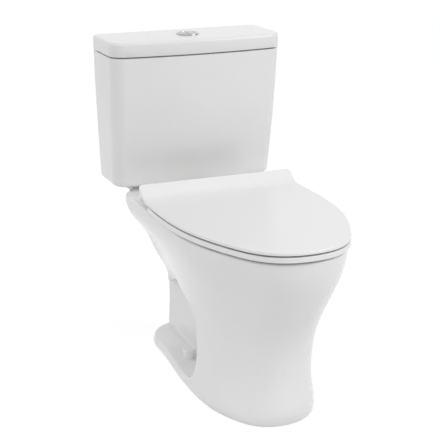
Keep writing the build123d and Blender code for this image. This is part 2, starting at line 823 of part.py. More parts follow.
# Tank bolts with seals, washers and nuts
bolts = []
seals = []
washers = []
nuts = []
bolt_base = floor_level + bolt_seal_thickness
bolt_nut_top = shelf_low - bolt_washer_thickness
bolt_nut_low = bolt_nut_top - bolt_nut_height
bolt_thread = tank_bolt_radius + thread_clearance
for side in (-1, 1):
    x = side * tank_bolt_x
    bolt = hexagon(tank_bolt_head, bolt_base, bolt_base + tank_bolt_head_height, x, valve_y)
    bolts.append(bolt + post(tank_bolt_radius, bolt_nut_low - bolt_end, bolt_base, x, valve_y))
    seals.append(sleeve(bolt_seal_radius, bolt_thread, floor_level, bolt_base, x, valve_y))
    washers.append(sleeve(bolt_washer_radius, bolt_thread, bolt_nut_top, shelf_low, x, valve_y))
    nut = hexagon(bolt_nut_radius, bolt_nut_low, bolt_nut_top, x, valve_y)
    nuts.append(nut - post(bolt_thread, bolt_nut_low, bolt_nut_top, x, valve_y))
save("tank_bolts", Compound(children=bolts))
save("tank_bolt_seals", Compound(children=seals))
save("tank_bolt_washers", Compound(children=washers))
save("tank_bolt_nuts", Compound(children=nuts))

# Seat ring with two hinge arms
ring_low = rim_height + ring_bumper
ring_high = ring_low + ring_thickness
hinge_z = rim_height + hinge_rise
hinge_bore = hinge_pin_radius + running_clearance
seat_nose = (seat_front, seat_widest, seat_half, seat_fullness)
ring = extrude(plan(ring_low, *seat_nose, ring_rear, seat_rear_half, seat_corner), ring_thickness)
ring -= extrude(oval(ring_low, hole_front, hole_widest, hole_half, hole_rear), ring_thickness)
ring = fillet(ring.edges().group_by(Axis.Z)[-1], ring_edge)
hollow_nose = (seat_front + ring_lip, seat_widest, seat_half - ring_lip, seat_fullness)
hollow_plan = plan(ring_low, *hollow_nose, ring_rear - arm_root, seat_rear_half - ring_lip, seat_corner)
hollow_plan -= oval(ring_low, hole_front - ring_lip, hole_widest, hole_half + ring_lip, hole_rear + ring_lip)
ring -= extrude(hollow_plan, ring_hollow)
arm_side = make_face(Polyline(
    (ring_rear - arm_root, ring_low),
    (ring_rear - arm_root, ring_high),
    (ring_rear + arm_bend, ring_high),
    (hinge_y, hinge_z + knuckle_radius - knuckle_inset),
    (hinge_y, hinge_z - knuckle_radius + knuckle_inset),
    (ring_rear + arm_heel, ring_low),
    close=True,
))
for side in (-1, 1):
    knuckle_x = sorted((side * knuckle_low, side * knuckle_high))
    ring += extrude(Plane.YZ.offset(knuckle_x[0]) * arm_side, knuckle_high - knuckle_low)
    ring += bar_x(knuckle_radius, *knuckle_x, hinge_y, hinge_z)
ring -= bar_x(hinge_bore, -knuckle_high, knuckle_high, hinge_y, hinge_z)
save("seat_ring", ring)

# Seat lid: thin slab whose top rises at the rear to cover the hinges
slab_low = ring_high + lid_bumper
slab_high = slab_low + seat_lid_thickness
rear_high = slab_high + seat_lid_rise
side_front = seat_front - seat_corner
side_rear = seat_lid_rear + seat_corner
rise = Spline((rise_start, slab_high), (rise_end, rear_high), tangents=[(1, 0), (1, 0)])
side_lines = Polyline(
    (rise_end, rear_high),
    (rise_end, slab_low),
    (side_front, slab_low),
    (side_front, slab_high),
    (rise_start, slab_high),
)
side_view = extrude(Plane.YZ * make_face(rise + side_lines), beyond, both=True)
slab_plan = plan(slab_low, *seat_nose, seat_lid_rear, seat_rear_half, seat_corner)
seat_lid = extrude(slab_plan, rear_high - slab_low) & side_view
rear_straight = 2 * (seat_rear_half - seat_corner)


def on_lid_top(edge):
    box = edge.bounding_box()
    return box.min.Z > slab_high - pick_slack and box.size.X < rear_straight + pick_slack


seat_lid = fillet(seat_lid.edges().filter_by(on_lid_top), seat_lid_edge)
lid_nose = (seat_front + seat_lid_lip, seat_widest, seat_half - seat_lid_lip, seat_fullness)
lid_hollow = plan(slab_low, *lid_nose, rise_start, seat_rear_half - seat_lid_lip, seat_corner)
seat_lid -= extrude(lid_hollow, seat_lid_hollow)
pocket_top = hinge_z + hinge_pocket_radius
pocket_x = (-hinge_pocket_half, hinge_pocket_half)
seat_lid -= block(*pocket_x, hinge_pocket_front, side_rear, slab_low, hinge_z)
seat_lid -= block(*pocket_x, hinge_y, side_rear, hinge_z, pocket_top)
seat_lid -= bar_x(hinge_pocket_radius, *pocket_x, hinge_y, hinge_z)
ear_front = hinge_y - hinge_pin_radius
ear_back = hinge_y + knuckle_radius - knuckle_inset
for side in (-1, 1):
    ear_x = sorted((side * ear_low, side * ear_high))
    seat_lid += bar_x(knuckle_radius, *ear_x, hinge_y, hinge_z)
    seat_lid += block(*ear_x, ear_front, ear_back, hinge_z, pocket_top + ear_root)
seat_lid -= bar_x(hinge_bore, -ear_high, ear_high, hinge_y, hinge_z)
save("seat_lid", seat_lid)

# Bumpers under the ring and under the lid
ring_bumpers = []
lid_bumpers = []
for side in (-1, 1):
    for bumper_y in (bumper_front, bumper_rear):
        place = (side * bumper_x, bumper_y, bumper_width, bumper_length)
        ring_bumpers.append(pad(*place, rim_height + bumper_gap, ring_low + ring_hollow))
        lid_bumpers.append(pad(*place, ring_high + bumper_gap, slab_low + seat_lid_hollow))
save("ring_bumpers", Compound(children=ring_bumpers))
save("lid_bumpers", Compound(children=lid_bumpers))

# Hinge bases, pins, seat bolts and expanding anchors
hinge_pins = []
seat_bolts = []
anchors = []
anchor_nuts = []
plate_top = rim_height + plate_thickness
anchor_low = rim_height - anchor_length
anchor_nut_low = anchor_low - anchor_nut_height
anchor_radius = anchor_hole_radius - anchor_clearance
anchor_bore = seat_bolt_radius + thread_clearance
for name, side in (("left", -1), ("right", 1)):
    x = side * base_x
    barrel_x = (x - barrel_half, x + barrel_half)
    base = post(plate_radius, rim_height, plate_top, x, hinge_y - plate_setback)
    base += post(plate_radius, rim_height, plate_top, x, seat_bolt_y)
    base += pad(x, hinge_y, 2 * post_half, post_thickness, plate_top, hinge_z)
    base += bar_x(barrel_radius, *barrel_x, hinge_y, hinge_z)
    base -= bar_x(hinge_bore, *barrel_x, hinge_y, hinge_z)
    base -= post(seat_bolt_radius + running_clearance, rim_height, plate_top, x, seat_bolt_y)
    save("hinge_base_" + name, base)
    hinge_pins.append(bar_x(hinge_pin_radius, *sorted((side * knuckle_low, side * ear_high)), hinge_y, hinge_z))
    bolt = post(seat_bolt_head, plate_top, plate_top + seat_bolt_head_height, x, seat_bolt_y)
    seat_bolts.append(bolt + post(seat_bolt_radius, anchor_nut_low, plate_top, x, seat_bolt_y))
    anchors.append(sleeve(anchor_radius, anchor_bore, anchor_low, rim_height, x, seat_bolt_y))
    anchor_nuts.append(sleeve(anchor_radius, anchor_bore, anchor_nut_low, anchor_low, x, seat_bolt_y))
save("hinge_pins", Compound(children=hinge_pins))
save("seat_bolts", Compound(children=seat_bolts))
save("seat_anchors", Compound(children=anchors))
save("seat_anchor_nuts", Compound(children=anchor_nuts))
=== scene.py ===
"""Close coupled toilet: glaze, plastics, metals, screw threads and a plain white studio."""

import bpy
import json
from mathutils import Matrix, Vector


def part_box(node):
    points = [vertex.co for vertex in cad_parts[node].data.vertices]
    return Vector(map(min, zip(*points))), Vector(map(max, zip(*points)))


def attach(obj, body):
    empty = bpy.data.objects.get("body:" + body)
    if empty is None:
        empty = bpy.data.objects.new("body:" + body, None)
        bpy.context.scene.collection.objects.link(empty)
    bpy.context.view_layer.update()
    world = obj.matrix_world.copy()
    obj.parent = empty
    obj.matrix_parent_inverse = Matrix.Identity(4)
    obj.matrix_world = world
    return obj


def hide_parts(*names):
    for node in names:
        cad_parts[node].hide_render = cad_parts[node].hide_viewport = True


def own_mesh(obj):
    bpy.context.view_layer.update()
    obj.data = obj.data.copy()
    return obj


bl_info = {
    "name": "Close Coupled Toilet",
    "version": (1, 0, 0),
    "blender": (4, 5, 0),
    "location": "View3D > Sidebar > Toilet",
    "description": "Dresses a close coupled toilet with its glaze, plastics, metals and screw threads",
    "category": "Object",
}

import json
import math

import bmesh
import bpy
from bpy.props import FloatProperty, FloatVectorProperty, IntProperty, PointerProperty
from mathutils import Vector

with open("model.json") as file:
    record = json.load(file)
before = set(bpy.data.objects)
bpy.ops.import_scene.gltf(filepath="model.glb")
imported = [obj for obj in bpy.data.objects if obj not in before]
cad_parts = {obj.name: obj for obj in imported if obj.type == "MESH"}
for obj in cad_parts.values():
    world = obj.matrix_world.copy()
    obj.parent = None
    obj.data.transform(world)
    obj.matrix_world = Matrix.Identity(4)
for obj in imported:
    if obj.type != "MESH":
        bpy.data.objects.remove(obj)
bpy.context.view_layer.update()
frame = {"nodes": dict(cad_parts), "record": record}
NODES = frame["nodes"]
BODY_OF = {node: body for body, nodes in frame["record"]["behaviour"]["bodies"].items() for node in nodes}
WELD = 1e-6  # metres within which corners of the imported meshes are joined
SENSOR = 36.0  # width of the camera's sensor, in mm
THREAD_FOOT = 0.42  # half the foot of a thread, as a share of its pitch
THREAD_ROOT = 0.25  # how far a thread is sunk in its shank, as a share of its height


def colour(label, note, default):
    """A colour property with its name, description and default."""
    return FloatVectorProperty(
        name=label, description=note, default=default, size=3, min=0.0, max=1.0, subtype="COLOR")


def length(label, note, default):
    """A length property in metres."""
    return FloatProperty(name=label, description=note, default=default, min=0.0, unit="LENGTH", precision=5)


def amount(label, note, default, highest=1.0):
    """A plain number property."""
    return FloatProperty(name=label, description=note, default=default, min=0.0, max=highest)


def angle(label, note, degrees):
    """An angle property, with its default in degrees."""
    return FloatProperty(name=label, description=note, default=math.radians(degrees), subtype="ANGLE")


def point(label, note, default):
    """A point property in metres."""
    return FloatVectorProperty(name=label, description=note, default=default, size=3, unit="LENGTH")


class ToiletColours(bpy.types.PropertyGroup):
    """Colours of the china, plastics, metals and rubber."""

    glaze: colour("Glaze", "White glaze over the china", (0.80, 0.80, 0.80))
    glaze_thin: colour("Thin Glaze", "Tone of the glaze where it lies thinner", (0.785, 0.785, 0.78))
    biscuit: colour("Biscuit", "Bare fired clay under the foot, the tank and the lid", (0.74, 0.70, 0.63))
    seat: colour("Seat", "Polished plastic of the seat", (0.82, 0.82, 0.82))
    chrome: colour("Chrome", "Plating of the flush buttons and their rim", (0.50, 0.51, 0.52))
    valve: colour("Valve Plastic", "Moulded plastic of the valves", (0.78, 0.78, 0.75))
    float_grey: colour("Float Plastic", "Grey plastic of the float and canister", (0.30, 0.33, 0.37))
    rubber: colour("Rubber", "Black rubber of seals and washers", (0.025, 0.025, 0.027))
    soft: colour("Soft Plastic", "Pale bumpers and refill tube", (0.70, 0.70, 0.68))
    soft_cloud: colour("Soft Plastic Cloud", "Second tone of the soft plastic", (0.66, 0.66, 0.64))
    brass: colour("Brass", "Tank bolts, washers and nuts", (0.62, 0.46, 0.20))
    tarnish: colour("Tarnish", "Dull tone that brass takes in damp air", (0.30, 0.21, 0.10))
    steel: colour("Steel", "Springs, pins and seat bolts", (0.55, 0.56, 0.57))
    scale_film: colour("Water Film", "Tone that hard water leaves on plastic", (0.62, 0.57, 0.48))


class ToiletSizes(bpy.types.PropertyGroup):
    """Sizes of the surface detail and of the screw threads."""

    glaze_ripple: length("Glaze Ripple", "Height of the slow waves in the glaze", 0.00035)
    plastic_grain: length("Plastic Grain", "Height of the moulded grain", 0.00006)
    bare_band: length("Bare Band", "Height of the wiped edge above a standing face", 0.0012)
    water_level: length("Water Level", "Height of the water line in the tank", 0.590)
    button_travel: length("Button Travel", "How far a flush button is pressed against its spring", 0.010)
    smooth_angle: angle("Smooth Angle", "Faces that meet at less than this shade as one", 32.0)
    supply_radius: length("Supply Shank Radius", "Radius of the fill valve shank below its nut", 0.0105)
    supply_pitch: length("Supply Thread Pitch", "Pitch of the thread on the fill valve shank", 0.0018)
    supply_depth: length("Supply Thread Depth", "Height of that thread", 0.0008)
    bolt_radius: length("Bolt Radius", "Radius of the tank bolts", 0.004)
    bolt_spacing: length("Bolt Spacing", "Distance between the two tank bolts", 0.172)
    bolt_pitch: length("Bolt Thread Pitch", "Pitch of the thread on the tank bolts", 0.00127)
    bolt_depth: length("Bolt Thread Depth", "Height of that thread", 0.00055)
    thread_margin: length("Thread Margin", "Plain length left at each end of a thread", 0.001)
    thread_steps: IntProperty(
        name="Thread Steps", description="Facets in one turn of a thread", default=20, min=8, max=48)


class ToiletStudio(bpy.types.PropertyGroup):
    """Camera, lamps and floor of the studio."""

    target: point("Target", "Point that the camera looks at", (-0.0352, 0.0116, 0.3648))
    azimuth: angle("Azimuth", "Camera angle round the toilet", -22.73)
    elevation: angle("Elevation", "Camera angle above the horizon", 17.36)
    distance: length("Distance", "Camera distance from its target", 2.640)
    lens: FloatProperty(name="Lens", description="Focal length of the camera", default=100.94, unit="CAMERA")
    shift: FloatVectorProperty(
        name="Shift", description="Camera shift that frames the picture", default=(0.0007, 0.0036), size=2)
    floor: colour("Floor", "Pale floor", (0.80, 0.80, 0.80))
    shadow: colour("Floor Shadow", "Tone of the floor that carries the toilet's shadow", (0.22, 0.22, 0.22))
    floor_glow: amount("Floor Glow", "Light that the floor shows besides what it reflects", 0.84)
    floor_reach: length("Floor Reach", "Half the width of the floor", 3.0)
    sky_above: amount("Light Above", "Light of the room from above", 0.45, 4.0)
    sky_front: amount("Light in Front", "Light of the room from high in front", 1.75, 4.0)
    sky_high_left: amount("Light High at the Left", "Light of the room from high at the left", 0.80, 4.0)
    sky_left: amount("Light at the Left", "Light of the room from the left", 0.50, 4.0)
    sky_behind: amount("Light Behind", "Light of the room from behind", 0.25, 4.0)
    key_place: point("Key Lamp Place", "Where the soft lamp at the right stands", (1.9, -1.7, 1.9))
    key_aim: point("Key Lamp Aim", "Point that the lamp faces", (0.0, 0.0, 0.35))
    key_width: length("Key Lamp Width", "Side of the square lamp", 1.6)
    key_power: FloatProperty(
        name="Key Lamp", description="Power of that lamp", default=30.0, min=0.0, unit="POWER")


def colours():
    return bpy.context.scene.toilet_colours


def sizes():
    return bpy.context.scene.toilet_sizes


def studio():
    return bpy.context.scene.toilet_studio


def new_group(name, inputs, outputs):
    """An empty shader node group with named sockets, and its two end nodes."""
    group = bpy.data.node_groups.new(name, "ShaderNodeTree")
    for label, kind, default in inputs:
        socket = group.interface.new_socket(name=label, in_out="INPUT", socket_type=kind)
        socket.default_value = default
    for label, kind in outputs:
        group.interface.new_socket(name=label, in_out="OUTPUT", socket_type=kind)
    return group, group.nodes.new("NodeGroupInput"), group.nodes.new("NodeGroupOutput")


def noise(tree, coordinates, size, detail=2.0, stretch=None):
    """A noise texture whose features are about size metres wide, drawn out along stretch if given."""
    texture = tree.nodes.new("ShaderNodeTexNoise")
    texture.inputs["Scale"].default_value = 1.0 / size
    texture.inputs["Detail"].default_value = detail
    if stretch:
        mapping = tree.nodes.new("ShaderNodeMapping")
        mapping.inputs["Scale"].default_value = stretch
        tree.links.new(coordinates, mapping.inputs["Vector"])
        coordinates = mapping.outputs["Vector"]
    tree.links.new(coordinates, texture.inputs["Vector"])
    return texture.outputs["Fac"]


def place(tree):
    """Object coordinates, in metres."""
    return tree.nodes.new("ShaderNodeTexCoord").outputs["Object"]


def remap(tree, value, low, high, new_low=0.0, new_high=1.0):
    """Value spread from low..high to new_low..new_high, clamped."""
    node = tree.nodes.new("ShaderNodeMapRange")
    node.inputs["From Min"].default_value = low
    node.inputs["From Max"].default_value = high
    node.inputs["To Min"].default_value = new_low
    node.inputs["To Max"].default_value = new_high
    tree.links.new(value, node.inputs["Value"])
    return node.outputs["Result"]


def combine(tree, operation, first, second):
    """A math node on two sockets, or on a socket and a number."""
    node = tree.nodes.new("ShaderNodeMath")
    node.operation = operation
    for socket, value in zip(node.inputs, (first, second)):
        if isinstance(value, (int, float)):
            socket.default_value = value
        else:
            tree.links.new(value, socket)
    return node.outputs["Value"]


def mix(tree, mask, first, second):
    """Two colours blended by a mask; each is a colour value or a socket."""
    node = tree.nodes.new("ShaderNodeMix")
    node.data_type = "RGBA"
    tree.links.new(mask, node.inputs["Factor"])
    for socket, value in ((node.inputs[6], first), (node.inputs[7], second)):
        if isinstance(value, bpy.types.NodeSocket):
            tree.links.new(value, socket)
        else:
            socket.default_value = (*value, 1.0)
    return node.outputs[2]


def glaze_flow_group():
    """Slow waves, fine orange peel and thick or thin places of a fired glaze."""
    group, start, end = new_group(
        "glaze_flow", [("Bare Level", "NodeSocketFloat", 0.0), ("Bare Band", "NodeSocketFloat", 0.001)],
        [("Thin", "NodeSocketFloat"), ("Wave", "NodeSocketFloat"), ("Bare", "NodeSocketFloat")])
    where = place(group)
    slow = noise(group, where, 0.060, 1.0)
    peel = noise(group, where, 0.006, 1.0)
    wave = combine(group, "ADD", slow, combine(group, "MULTIPLY", peel, 0.05))
    thin = remap(group, noise(group, where, 0.140, 3.0), 0.40, 0.66)
    height = group.nodes.new("ShaderNodeSeparateXYZ")
    group.links.new(where, height.inputs["Vector"])
    wander = combine(group, "MULTIPLY", noise(group, where, 0.015, 2.0), start.outputs["Bare Band"])
    above = combine(group, "SUBTRACT", height.outputs["Z"], start.outputs["Bare Level"])
    bare = combine(group, "LESS_THAN", above, wander)
    group.links.new(thin, end.inputs["Thin"])
    group.links.new(wave, end.inputs["Wave"])
    group.links.new(bare, end.inputs["Bare"])
    return group


def moulded_grain_group():
    """Fine grain and faint flow clouds of moulded plastic and rubber."""
    group, start, end = new_group(
        "moulded_grain", [("Grain Size", "NodeSocketFloat", 0.0008)],
        [("Grain", "NodeSocketFloat"), ("Cloud", "NodeSocketFloat")])
    where = place(group)
    grain = group.nodes.new("ShaderNodeTexNoise")
    grain.inputs["Detail"].default_value = 3.0
    group.links.new(where, grain.inputs["Vector"])
    group.links.new(combine(group, "DIVIDE", 1.0, start.outputs["Grain Size"]), grain.inputs["Scale"])
    group.links.new(grain.outputs["Fac"], end.inputs["Grain"])
    group.links.new(remap(group, noise(group, where, 0.045, 3.0), 0.35, 0.68), end.inputs["Cloud"])
    return group


def handled_metal_group():
    """Smudges, tarnish and drawn scratches of metal that is touched or stays damp."""
    group, start, end = new_group(
        "handled_metal", [("Patch Size", "NodeSocketFloat", 0.01)],
        [("Smudge", "NodeSocketFloat"), ("Scratch", "NodeSocketFloat")])
    where = place(group)
    patch = group.nodes.new("ShaderNodeTexNoise")
    patch.inputs["Detail"].default_value = 4.0
    group.links.new(where, patch.inputs["Vector"])
    group.links.new(combine(group, "DIVIDE", 1.0, start.outputs["Patch Size"]), patch.inputs["Scale"])
    group.links.new(remap(group, patch.outputs["Fac"], 0.42, 0.70), end.inputs["Smudge"])
    group.links.new(noise(group, where, 0.0006, 2.0, (1.0, 0.04, 1.0)), end.inputs["Scratch"])
    return group


def water_film_group():
    """Film that standing water leaves: a ragged line at the water level and a faint coat below it."""
    group, start, end = new_group(
        "water_film", [("Water Level", "NodeSocketFloat", 0.59)], [("Film", "NodeSocketFloat")])
    where = place(group)
    height = group.nodes.new("ShaderNodeSeparateXYZ")
    group.links.new(where, height.inputs["Vector"])
    ragged = combine(group, "MULTIPLY", noise(group, where, 0.012, 3.0), 0.006)
    level = combine(group, "ADD", start.outputs["Water Level"], ragged)
    depth = combine(group, "SUBTRACT", level, height.outputs["Z"])
    line = combine(group, "MULTIPLY", remap(group, depth, 0.0, 0.002), remap(group, depth, 0.010, 0.003))
    patches = remap(group, noise(group, where, 0.030, 4.0), 0.40, 0.75)
    coat = combine(group, "MULTIPLY", remap(group, depth, 0.0, 0.004), patches)
    film = combine(group, "MAXIMUM",
                   combine(group, "MULTIPLY", line, 0.55), combine(group, "MULTIPLY", coat, 0.30))
    group.links.new(film, end.inputs["Film"])
    return group


def shared(name, build):
    """The node group of that name, built the first time it is asked for."""
    return bpy.data.node_groups.get(name) or build()


def use(material, name, build, **values):
    """A node group placed in a material, with its inputs set."""
    node = material.node_tree.nodes.new("ShaderNodeGroup")
    node.node_tree = shared(name, build)
    for label, value in values.items():
        node.inputs[label.replace("_", " ").title()].default_value = value
    return node.outputs


def blank(name, **settings):
    """A material with one Principled shader and its plain values set."""
    material = bpy.data.materials.new(name)
    material.use_nodes = True
    shader = material.node_tree.nodes["Principled BSDF"]
    for label, value in settings.items():
        shader.inputs[label.replace("_", " ")].default_value = value
    return material, material.node_tree, shader


def relief(tree, shader, height, distance, strength=1.0):
    """A bump of that many metres on the shader."""
    bump = tree.nodes.new("ShaderNodeBump")
    bump.inputs["Distance"].default_value = distance
    bump.inputs["Strength"].default_value = strength
    tree.links.new(height, bump.inputs["Height"])
    tree.links.new(bump.outputs["Normal"], shader.inputs["Normal"])


def glazed_china(name, standing_face):
    """White glazed china, bare clay on the face that it was fired on."""
    material, tree, shader = blank(name, IOR=1.52, Specular_IOR_Level=0.42, Coat_Roughness=0.06)
    flow = use(material, "glaze_flow", glaze_flow_group,
               bare_level=standing_face, bare_band=sizes().bare_band)
    glaze = mix(tree, flow["Thin"], colours().glaze, colours().glaze_thin)
    tree.links.new(mix(tree, flow["Bare"], glaze, colours().biscuit), shader.inputs["Base Color"])
    gloss = remap(tree, flow["Thin"], 0.0, 1.0, 0.14, 0.20)
    matt = combine(tree, "MULTIPLY", flow["Bare"], 0.85)
    tree.links.new(combine(tree, "MAXIMUM", gloss, matt), shader.inputs["Roughness"])
    tree.links.new(remap(tree, flow["Bare"], 0.0, 1.0, 0.1, 0.0), shader.inputs["Coat Weight"])
    relief(tree, shader, flow["Wave"], sizes().glaze_ripple, 0.5)
    return material


def shade(tone, share):
    """A tone made lighter or darker by a share."""
    return tuple(share * part for part in tone)


def moulded(name, tone, deep_tone, gloss, dull, grain_size, grain_height, **settings):
    """Moulded plastic or rubber: two close tones, a fine grain and a roughness that drifts."""
    material, tree, shader = blank(name, **settings)
    grain = use(material, "moulded_grain", moulded_grain_group, grain_size=grain_size)
    tree.links.new(mix(tree, grain["Cloud"], tone, deep_tone), shader.inputs["Base Color"])
    tree.links.new(remap(tree, grain["Cloud"], 0.0, 1.0, gloss, dull), shader.inputs["Roughness"])
    relief(tree, shader, grain["Grain"], grain_height)
    return material


def wetted(name, tone, gloss, dull):
    """Moulded plastic that stands in the tank's water."""
    material = moulded(name, tone, shade(tone, 0.94), gloss, dull,
                       grain_size=0.0009, grain_height=sizes().plastic_grain)
    tree = material.node_tree
    shader = tree.nodes["Principled BSDF"]
    film = use(material, "water_film", water_film_group, water_level=sizes().water_level)
    plain = shader.inputs["Base Color"].links[0].from_socket
    tree.links.new(mix(tree, film["Film"], plain, colours().scale_film), shader.inputs["Base Color"])
    return material


def metal(name, tone, dull_tone, gloss, dull, patch, scratch):
    """Metal with smudged or tarnished patches and drawn scratches."""
    material, tree, shader = blank(name, Metallic=1.0)
    handled = use(material, "handled_metal", handled_metal_group, patch_size=patch)
    tree.links.new(mix(tree, handled["Smudge"], tone, dull_tone), shader.inputs["Base Color"])
    tree.links.new(remap(tree, handled["Smudge"], 0.0, 1.0, gloss, dull), shader.inputs["Roughness"])
    relief(tree, shader, handled["Scratch"], scratch)
    return material


def even_shading(piece):
    """Shading in which the large faces set the tone of the fillets beside them."""
    piece.modifiers.new("even_shading", "WEIGHTED_NORMAL").keep_sharp = True
    bpy.context.view_layer.update()
    shaded = piece.evaluated_get(bpy.context.evaluated_depsgraph_get())
    plain = piece.data
    piece.data = bpy.data.meshes.new_from_object(shaded)
    piece.modifiers.clear()
    bpy.data.meshes.remove(plain)


def skin(material, *nodes):
    """Smooth shaded copies of CAD nodes, which stand for them."""
    made = []
    for node in nodes:
        mesh = NODES[node].data.copy()
        mesh.name = node + "_skin"
        form = bmesh.new()
        form.from_mesh(mesh)
        bmesh.ops.remove_doubles(form, verts=form.verts, dist=WELD)
        form.to_mesh(mesh)
        form.free()
        mesh.shade_smooth()
        mesh.set_sharp_from_angle(angle=sizes().smooth_angle)
        mesh.materials.clear()
        mesh.materials.append(material)
        piece = bpy.data.objects.new(node + "_skin", mesh)
        bpy.context.scene.collection.objects.link(piece)
        even_shading(piece)
        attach(piece, BODY_OF[node])
        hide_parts(node)
        made.append(piece)
    return made


def low_of(node):
    """Height of a node's lowest point."""
    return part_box(node)[0].z


def centre_of(node):
    """Middle of a node's box, seen from above."""
    low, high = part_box(node)
    return (low.x + high.x) / 2, (low.y + high.y) / 2


def thread(name, carrier, nut, centre, radius, pitch, depth, material):
    """A helical thread on an upright shank, from its low end up to its nut, riding on its carrier's body."""
    low = low_of(carrier) + sizes().thread_margin
    high = low_of(nut) - sizes().thread_margin
    form = bmesh.new()
    half = THREAD_FOOT * pitch
    root = radius - THREAD_ROOT * depth
    profile = [(root, low), (radius + depth, low + half), (root, low + 2 * half)]
    corners = [form.verts.new((centre[0] + out, centre[1], level)) for out, level in profile]
    edges = [form.edges.new((corners[i], corners[(i + 1) % 3])) for i in range(3)]
    steps = sizes().thread_steps
    turns = (high - low) / pitch - 1.0
    count = int(steps * turns)
    bmesh.ops.spin(form, geom=corners + edges, cent=(centre[0], centre[1], 0.0), axis=(0.0, 0.0, 1.0),
                   dvec=(0.0, 0.0, pitch / steps), angle=2 * math.pi * count / steps, steps=count)
    bmesh.ops.holes_fill(form, edges=[edge for edge in form.edges if edge.is_boundary], sides=3)
    bmesh.ops.recalc_face_normals(form, faces=form.faces)
    mesh = bpy.data.meshes.new(name)
    form.to_mesh(mesh)
    form.free()
    mesh.shade_smooth()
    mesh.set_sharp_from_angle(angle=sizes().smooth_angle)
    mesh.materials.append(material)
    piece = bpy.data.objects.new(name, mesh)
    bpy.context.scene.collection.objects.link(piece)
    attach(piece, BODY_OF[carrier])
    return piece


class TOILET_OT_china(bpy.types.Operator):
    """Glaze the bowl, the tank and its lid"""

    bl_idname = "toilet.china"
    bl_label = "Glazed China"

    def execute(self, context):
        for node in ("bowl", "tank", "tank_lid"):
            skin(glazed_china("glazed_" + node, low_of(node)), node)
        return {"FINISHED"}


class TOILET_OT_seat(bpy.types.Operator):
    """Finish the seat ring, the seat lid, their bumpers and hinges"""

    bl_idname = "toilet.seat"
    bl_label = "Seat"

    def execute(self, context):
        tone = colours().seat
        grain = sizes().plastic_grain
        polished = moulded("polished_seat_plastic", tone, shade(tone, 0.985), gloss=0.20, dull=0.27,
                           grain_size=0.0012, grain_height=grain,
                           Specular_IOR_Level=0.42, Coat_Weight=0.05, Coat_Roughness=0.12)
        skin(polished, "seat_ring", "seat_lid", "hinge_base_left", "hinge_base_right", "floor_bolt_caps")
        soft = moulded("soft_bumper", colours().soft, colours().soft_cloud, gloss=0.45, dull=0.55,
                       grain_size=0.0010, grain_height=grain)
        skin(soft, "ring_bumpers", "lid_bumpers", "refill_tube")
        return {"FINISHED"}


class TOILET_OT_buttons(bpy.types.Operator):
    """Plate the flush buttons and their rim"""

    bl_idname = "toilet.buttons"
    bl_label = "Flush Buttons"

    def execute(self, context):
        bright = colours().chrome
        plated = metal("polished_chrome", bright, shade(bright, 0.93), gloss=0.06, dull=0.13,
                       patch=0.012, scratch=0.00001)
        skin(plated, "full_button", "half_button", "button_bezel")
        return {"FINISHED"}


class TOILET_OT_valves(bpy.types.Operator):
    """Finish the flush valve, the fill valve and their moving pieces"""

    bl_idname = "toilet.valves"
    bl_label = "Tank Valves"

    def execute(self, context):
        pale = wetted("valve_plastic", colours().valve, gloss=0.38, dull=0.50)
        skin(pale, "flush_valve_body", "full_lever", "half_lever", "full_rod", "half_rod", "bezel_nut",
             "flush_valve_nut", "fill_valve_body", "fill_valve_nut", "refill_clip", "half_sleeve",
             "seat_anchor_nuts")
        grey = wetted("float_plastic", colours().float_grey, gloss=0.40, dull=0.52)
        skin(grey, "flush_canister", "float_cup", "fill_valve_cap", "float_arm", "float_link")
        thread("fill_valve_thread", "fill_valve_body", "fill_valve_nut", centre_of("fill_valve_nut"),
               sizes().supply_radius, sizes().supply_pitch, sizes().supply_depth, pale)
        return {"FINISHED"}


class TOILET_OT_fixings(bpy.types.Operator):
    """Finish the bolts, springs, pins, seals and washers"""

    bl_idname = "toilet.fixings"
    bl_label = "Fixings and Seals"

    def execute(self, context):
        black = colours().rubber
        sealing = moulded("black_rubber", black, shade(black, 1.7), gloss=0.62, dull=0.78,
                          grain_size=0.0007, grain_height=0.00012)
        skin(sealing, "canister_seal", "flush_valve_washer", "tank_gasket", "fill_valve_washer",
             "tank_bolt_seals", "seat_anchors")
        yellow = metal("aged_brass", colours().brass, colours().tarnish, gloss=0.26, dull=0.46,
                       patch=0.009, scratch=0.00004)
        skin(yellow, "tank_bolts", "tank_bolt_washers", "tank_bolt_nuts")
        middle = centre_of("tank_bolts")
        for side, reach in (("left", -sizes().bolt_spacing / 2), ("right", sizes().bolt_spacing / 2)):
            thread("tank_bolt_thread_" + side, "tank_bolts", "tank_bolt_nuts", (middle[0] + reach, middle[1]),
                   sizes().bolt_radius, sizes().bolt_pitch, sizes().bolt_depth, yellow)
        grey = colours().steel
        drawn = metal("drawn_steel", grey, shade(grey, 0.80), gloss=0.24, dull=0.38,
                      patch=0.008, scratch=0.00004)
        skin(drawn, "lever_pins", "hinge_pins", "seat_bolts")
        for size in ("full", "half"):
            spring, = skin(drawn, size + "_spring")
            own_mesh(spring)
        return {"FINISHED"}


def lamp(name, place_at, aim_at, width, power):
    """A square soft lamp aimed at a point."""
    light = bpy.data.lights.new(name, "AREA")
    light.size = width
    light.energy = power
    source = bpy.data.objects.new(name, light)
    source.location = place_at
    source.rotation_euler = (Vector(aim_at) - Vector(place_at)).to_track_quat("-Z", "Y").to_euler()
    bpy.context.scene.collection.objects.link(source)


def ray_kinds(tree):
    """Masks for the rays that come from the camera, and for those from mirrors and clear things."""
    path = tree.nodes.new("ShaderNodeLightPath")
    mirrored = combine(tree, "MAXIMUM", path.outputs["Is Glossy Ray"], path.outputs["Is Transmission Ray"])
    return path.outputs["Is Camera Ray"], mirrored


